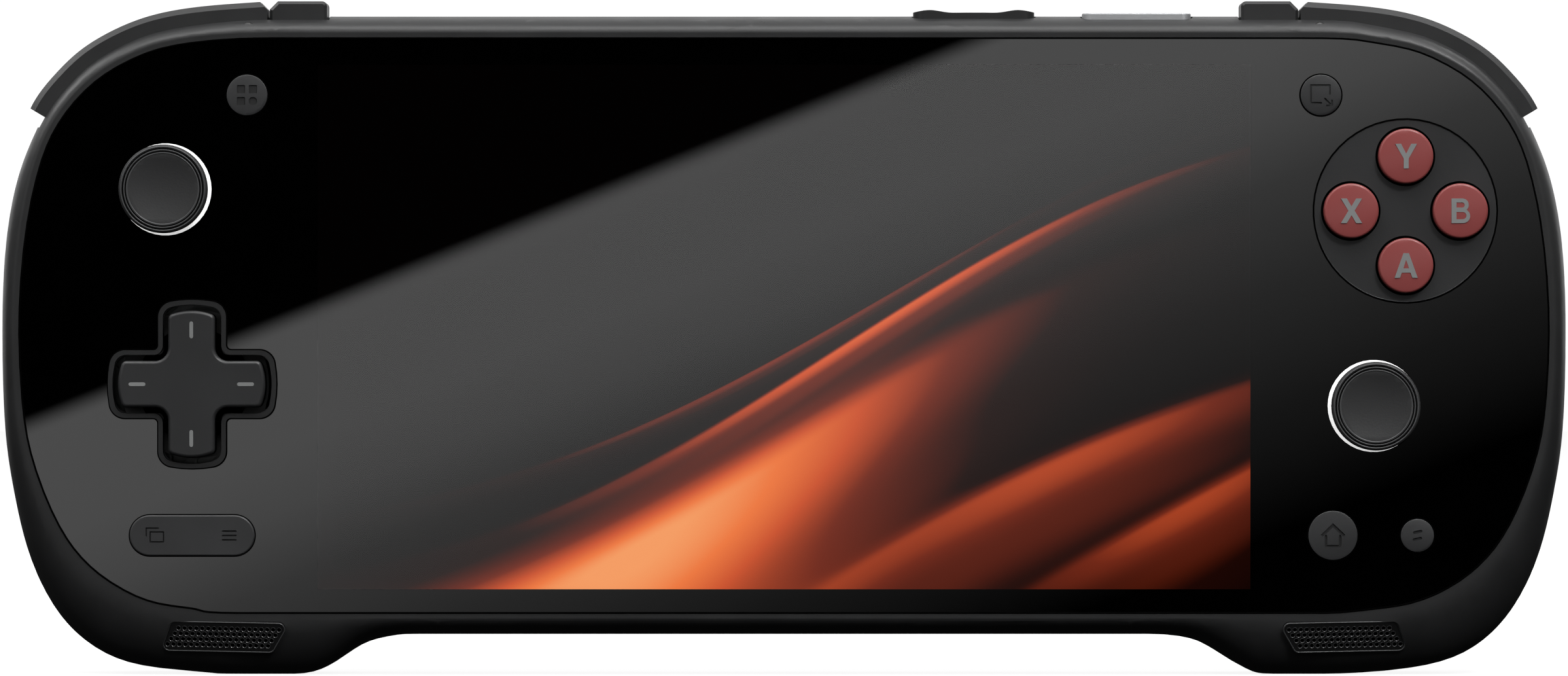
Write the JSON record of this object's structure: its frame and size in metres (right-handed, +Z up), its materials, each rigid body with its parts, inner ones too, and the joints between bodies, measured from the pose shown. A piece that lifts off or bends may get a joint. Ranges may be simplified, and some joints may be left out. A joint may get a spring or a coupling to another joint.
{
  "type": "handheld game console",
  "caption": "Handheld game console with a wide screen, thumb sticks, cross pad, round buttons and shoulder keys, built up from shells, boards, cooling and controls.",
  "frame": {"origin": "bottom centre of the bounding box, on the plane of the grip feet, half way between the stick caps and the back of the grips", "axes": "+X to the player's right, the screen faces -Y, +Z up along the screen"},
  "size_m": [0.2232, 0.0294, 0.0959],
  "materials": {
    "shell_black": "fine matte texture",
    "cover_glass": "polished, printed black behind",
    "display": "lit screen",
    "ring_white": "satin white",
    "cap_rubber": "matte",
    "control_black": "satin",
    "key_black": "matte",
    "metal_silver": "brushed",
    "grille_black": "matte, bevelled edge",
    "mid_metal": "stamped",
    "board_green": "solder mask",
    "chip_dark": "polished",
    "battery_pack": "film wrapped",
    "steel": "turned",
    "copper": "flattened pipe",
    "fin_metal": "thin sheet",
    "fan_black": "moulded",
    "module_grey": "moulded",
    "membrane": "translucent grey",
    "mesh": "woven"
  },
  "bodies": {
    "console": {"front_frame": "shell_black", "rear_cover": "shell_black", "front_glass": "cover_glass", "display_panel": "display", "mid_plate": "mid_metal", "face_button_plate": "control_black", "dpad_bezel": "key_black", "stick_rings": "ring_white", "speaker_grilles": "grille_black", "speakers": "module_grey", "exhaust_grille": "grille_black", "mainboard": "board_green", "left_control_board": "board_green", "right_control_board": "board_green", "battery": "battery_pack", "fan_housing": "fan_black", "heat_sink": "fin_metal", "heat_pipe": "copper", "processor": "chip_dark", "usb_c_port": "steel", "headphone_jack": "module_grey", "card_slot": "steel", "left_stick_module": "module_grey", "right_stick_module": "module_grey", "rumble_motors": "steel", "face_button_membrane": "membrane", "dpad_membrane": "membrane", "case_screws": "steel", "board_screws": "steel", "shoulder_pins": "steel", "tact_switches": "steel", "intake_mesh": "mesh"},
    "fan": {"fan_rotor": "fan_black"},
    "left_yoke": {"left_stick_yoke": "control_black"},
    "left_pivot": {"left_stick_pivot": "control_black"},
    "left_stick": {"left_stick_shaft": "control_black", "left_stick_cap": "cap_rubber"},
    "right_yoke": {"right_stick_yoke": "control_black"},
    "right_pivot": {"right_stick_pivot": "control_black"},
    "right_stick": {"right_stick_shaft": "control_black", "right_stick_cap": "cap_rubber"},
    "dpad_seat": {"dpad_seat": "control_black"},
    "dpad": {"dpad": "control_black"},
    "button_a": {"button_a": "control_black"},
    "button_b": {"button_b": "control_black"},
    "button_x": {"button_x": "control_black"},
    "button_y": {"button_y": "control_black"},
    "apps_button": {"apps_button": "control_black"},
    "capture_button": {"capture_button": "control_black"},
    "home_button": {"home_button": "control_black"},
    "quick_button": {"quick_button": "control_black"},
    "option_rocker": {"option_rocker": "control_black"},
    "left_bumper": {"left_bumper": "key_black"},
    "left_trigger": {"left_trigger": "key_black"},
    "left_inner_key": {"left_inner_key": "key_black"},
    "right_bumper": {"right_bumper": "key_black"},
    "right_trigger": {"right_trigger": "key_black"},
    "right_inner_key": {"right_inner_key": "key_black"},
    "volume_rocker": {"volume_rocker": "key_black"},
    "power_button": {"power_button": "metal_silver"}
  },
  "joints": [
    {"name": "fan_spin", "type": "hinge", "parent": "console", "child": "fan", "pos_m": [-0.034, 0.0007, 0.0585], "axis": [0, 1, 0], "continuous": true},
    {"name": "left_stick_tilt_x", "type": "hinge", "parent": "console", "child": "left_yoke", "pos_m": [-0.0879, -0.0013, 0.06906], "axis": [1, 0, 0], "range_deg": [-15, 15], "stiffness_Nm_per_rad": 0.03},
    {"name": "left_stick_tilt_z", "type": "hinge", "parent": "left_yoke", "child": "left_pivot", "pos_m": [-0.0879, -0.0013, 0.06906], "axis": [0, 0, 1], "range_deg": [-15, 15], "stiffness_Nm_per_rad": 0.03},
    {"name": "left_stick_click", "type": "slide", "parent": "left_pivot", "child": "left_stick", "axis": [0, 1, 0], "range_m": [0, 0.00035], "stiffness_N_per_m": 800},
    {"name": "right_stick_tilt_x", "type": "hinge", "parent": "console", "child": "right_yoke", "pos_m": [0.0838, -0.0013, 0.0383], "axis": [1, 0, 0], "range_deg": [-15, 15], "stiffness_Nm_per_rad": 0.03},
    {"name": "right_stick_tilt_z", "type": "hinge", "parent": "right_yoke", "child": "right_pivot", "pos_m": [0.0838, -0.0013, 0.0383], "axis": [0, 0, 1], "range_deg": [-15, 15], "stiffness_Nm_per_rad": 0.03},
    {"name": "right_stick_click", "type": "slide", "parent": "right_pivot", "child": "right_stick", "axis": [0, 1, 0], "range_m": [0, 0.00035], "stiffness_N_per_m": 800},
    {"name": "dpad_tilt_x", "type": "hinge", "parent": "console", "child": "dpad_seat", "pos_m": [-0.0841, -0.00475, 0.0414], "axis": [1, 0, 0], "range_deg": [-3, 3], "stiffness_Nm_per_rad": 0.15},
    {"name": "dpad_tilt_z", "type": "hinge", "parent": "dpad_seat", "child": "dpad", "pos_m": [-0.0841, -0.00475, 0.0414], "axis": [0, 0, 1], "range_deg": [-3, 3], "stiffness_Nm_per_rad": 0.15},
    {"name": "button_a_press", "type": "slide", "parent": "console", "child": "button_a", "axis": [0, 1, 0], "range_m": [0, 0.0012], "stiffness_N_per_m": 400},
    {"name": "button_b_press", "type": "slide", "parent": "console", "child": "button_b", "axis": [0, 1, 0], "range_m": [0, 0.0012], "stiffness_N_per_m": 400},
    {"name": "button_x_press", "type": "slide", "parent": "console", "child": "button_x", "axis": [0, 1, 0], "range_m": [0, 0.0012], "stiffness_N_per_m": 400},
    {"name": "button_y_press", "type": "slide", "parent": "console", "child": "button_y", "axis": [0, 1, 0], "range_m": [0, 0.0012], "stiffness_N_per_m": 400},
    {"name": "apps_press", "type": "slide", "parent": "console", "child": "apps_button", "axis": [0, 1, 0], "range_m": [0, 0.0003], "stiffness_N_per_m": 600},
    {"name": "capture_press", "type": "slide", "parent": "console", "child": "capture_button", "axis": [0, 1, 0], "range_m": [0, 0.0003], "stiffness_N_per_m": 600},
    {"name": "home_press", "type": "slide", "parent": "console", "child": "home_button", "axis": [0, 1, 0], "range_m": [0, 0.0003], "stiffness_N_per_m": 600},
    {"name": "quick_press", "type": "slide", "parent": "console", "child": "quick_button", "axis": [0, 1, 0], "range_m": [0, 0.0003], "stiffness_N_per_m": 600},
    {"name": "option_rocker_tilt", "type": "hinge", "parent": "console", "child": "option_rocker", "pos_m": [-0.0841, -0.0065, 0.0199], "axis": [0, 0, 1], "range_deg": [-1.8, 1.8], "stiffness_Nm_per_rad": 0.2},
    {"name": "left_bumper_press", "type": "hinge", "parent": "console", "child": "left_bumper", "pos_m": [-0.0762, -0.0037, 0.092], "axis": [0, -1, 0], "range_deg": [0, 1.8], "stiffness_Nm_per_rad": 0.8},
    {"name": "left_trigger_pull", "type": "hinge", "parent": "console", "child": "left_trigger", "pos_m": [-0.082, 0.0027, 0.09], "axis": [-1, 0, 0], "range_deg": [0, 12], "stiffness_Nm_per_rad": 0.12},
    {"name": "left_inner_key_press", "type": "slide", "parent": "console", "child": "left_inner_key", "axis": [0, 0, -1], "range_m": [0, 0.0007], "stiffness_N_per_m": 600},
    {"name": "right_bumper_press", "type": "hinge", "parent": "console", "child": "right_bumper", "pos_m": [0.0762, -0.0037, 0.092], "axis": [0, 1, 0], "range_deg": [0, 1.8], "stiffness_Nm_per_rad": 0.8},
    {"name": "right_trigger_pull", "type": "hinge", "parent": "console", "child": "right_trigger", "pos_m": [0.082, 0.0027, 0.09], "axis": [-1, 0, 0], "range_deg": [0, 12], "stiffness_Nm_per_rad": 0.12},
    {"name": "right_inner_key_press", "type": "slide", "parent": "console", "child": "right_inner_key", "axis": [0, 0, -1], "range_m": [0, 0.0007], "stiffness_N_per_m": 600},
    {"name": "volume_tilt", "type": "hinge", "parent": "console", "child": "volume_rocker", "pos_m": [0.02705, -0.0048, 0.0915], "axis": [0, 1, 0], "range_deg": [-1.5, 1.5], "stiffness_Nm_per_rad": 0.4},
    {"name": "power_press", "type": "slide", "parent": "console", "child": "power_button", "axis": [0, 0, -1], "range_m": [0, 0.0003], "stiffness_N_per_m": 600}
  ]
}
